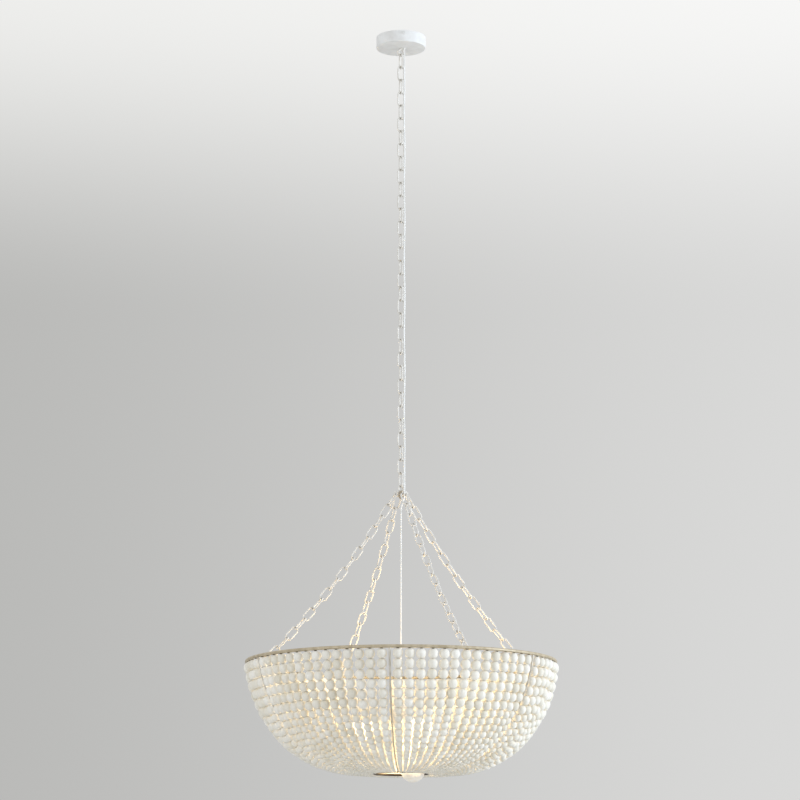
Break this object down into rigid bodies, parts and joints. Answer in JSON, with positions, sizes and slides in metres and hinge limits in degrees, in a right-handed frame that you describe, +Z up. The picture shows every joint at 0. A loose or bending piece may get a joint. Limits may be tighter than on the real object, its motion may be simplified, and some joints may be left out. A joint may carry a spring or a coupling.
{
  "type": "beaded bowl chandelier",
  "caption": "Ceiling chandelier on a painted link chain: a shallow bowl of washed wooden bead strands hung between a large and a small metal ring, with frosted bulbs inside.",
  "frame": {"origin": "middle of the mounting strap's top face, on the ceiling", "axes": "+Z up, the chain and the bowl hang along -Z; the pictured side faces -Y"},
  "size_m": [0.782, 0.782, 1.9148],
  "materials": {
    "canopy_paint": "satin white",
    "chain_paint": "chalky off-white over iron",
    "ring_metal": "satin champagne bronze",
    "zinc_steel": "zinc plated",
    "brass_screw": "satin",
    "washed_wood": "matte white wash with faint grain",
    "cord_jacket": "satin white",
    "white_plastic": "matte white",
    "bulb_glass": "frosted, emissive warm white"
  },
  "bodies": {
    "ceiling_mount": {"mounting_strap": "zinc_steel", "canopy_screw_front": "canopy_paint", "canopy_screw_back": "canopy_paint", "ground_screw": "brass_screw", "canopy_cup": "canopy_paint", "canopy_loop": "chain_paint", "canopy_nut": "zinc_steel", "cord_grommet": "white_plastic", "terminal_block": "white_plastic", "cord_in_canopy": "cord_jacket", "cord_bend_1": "cord_jacket"},
    "top_link": {"top_link": "chain_paint", "cord_bend_2": "cord_jacket"},
    "main_chain": {"main_chain": "chain_paint", "cord_on_chain": "cord_jacket", "cord_bend_3": "cord_jacket"},
    "bottom_link": {"bottom_link": "chain_paint", "cord_bend_4": "cord_jacket"},
    "hub_eye": {"hub_eye": "ring_metal", "hub_nut": "ring_metal", "cord_bend_5": "cord_jacket"},
    "bowl": {"hub_spool": "ring_metal", "side_chain_1": "chain_paint", "side_chain_2": "chain_paint", "side_chain_3": "chain_paint", "side_chain_4": "chain_paint", "ring_eyelet_1": "ring_metal", "ring_eyelet_2": "ring_metal", "ring_eyelet_3": "ring_metal", "ring_eyelet_4": "ring_metal", "top_ring": "ring_metal", "bottom_ring": "ring_metal", "rib_1": "ring_metal", "rib_2": "ring_metal", "rib_3": "ring_metal", "rib_4": "ring_metal", "rib_5": "ring_metal", "rib_6": "ring_metal", "bead_panel_1": "washed_wood", "bead_panel_2": "washed_wood", "bead_panel_3": "washed_wood", "bead_panel_4": "washed_wood", "bead_panel_5": "washed_wood", "bead_panel_6": "washed_wood", "cord_at_hub": "cord_jacket"},
    "lamp_cluster": {"cord_to_lamps": "cord_jacket", "cord_grip": "white_plastic", "lamp_cluster_body": "canopy_paint", "lamp_socket_1": "white_plastic", "lamp_socket_2": "white_plastic", "lamp_socket_3": "white_plastic", "swivel_fork": "canopy_paint", "swivel_pin": "zinc_steel"},
    "down_lamp": {"lamp_socket_4": "white_plastic"},
    "bulb_1": {"bulb_1": "bulb_glass"},
    "bulb_2": {"bulb_2": "bulb_glass"},
    "bulb_3": {"bulb_3": "bulb_glass"},
    "bulb_4": {"bulb_4": "bulb_glass"}
  },
  "joints": [
    {"name": "top_link_swing", "type": "hinge", "parent": "ceiling_mount", "child": "top_link", "pos_m": [0, 0, -0.0503], "axis": [0.8988, 0.4384, 0], "range_deg": [-25, 25], "deforming": ["cord_bend_1"]},
    {"name": "chain_swing", "type": "hinge", "parent": "top_link", "child": "main_chain", "pos_m": [0, 0, -0.0836], "axis": [-0.4384, 0.8988, 0], "range_deg": [-25, 25], "deforming": ["cord_bend_2"]},
    {"name": "bottom_link_swing", "type": "hinge", "parent": "main_chain", "child": "bottom_link", "pos_m": [0, 0, -1.1461], "axis": [0.8988, 0.4384, 0], "range_deg": [-15, 15], "deforming": ["cord_bend_3"]},
    {"name": "hub_swing", "type": "hinge", "parent": "bottom_link", "child": "hub_eye", "pos_m": [0, 0, -1.1796], "axis": [-0.4384, 0.8988, 0], "range_deg": [-15, 15], "deforming": ["cord_bend_4"]},
    {"name": "bowl_turn", "type": "hinge", "parent": "hub_eye", "child": "bowl", "pos_m": [0, 0, -1.1975], "axis": [0, 0, 1], "range_deg": [-15, 15], "deforming": ["cord_bend_5"]},
    {"name": "lamp_cluster_turn", "type": "hinge", "parent": "bowl", "child": "lamp_cluster", "pos_m": [0, 0, -1.23975], "axis": [0, 0, 1], "range_deg": [-90, 90]},
    {"name": "down_lamp_tilt", "type": "hinge", "parent": "lamp_cluster", "child": "down_lamp", "pos_m": [0, 0, -1.7959], "axis": [0, 1, 0], "range_deg": [0, 36.4]},
    {"name": "bulb_1_turn", "type": "hinge", "parent": "lamp_cluster", "child": "bulb_1", "pos_m": [0.01781, -0.03085, -1.76886], "axis": [0.4698, -0.8138, -0.342], "continuous": true},
    {"name": "bulb_2_turn", "type": "hinge", "parent": "lamp_cluster", "child": "bulb_2", "pos_m": [0.01781, 0.03085, -1.76886], "axis": [0.4698, 0.8138, -0.342], "continuous": true},
    {"name": "bulb_3_turn", "type": "hinge", "parent": "lamp_cluster", "child": "bulb_3", "pos_m": [-0.03562, 0, -1.76886], "axis": [-0.9397, 0, -0.342], "continuous": true},
    {"name": "bulb_4_turn", "type": "hinge", "parent": "down_lamp", "child": "bulb_4", "pos_m": [0.00494, 0, -1.81091], "axis": [0.3123, 0, -0.95], "continuous": true}
  ]
}
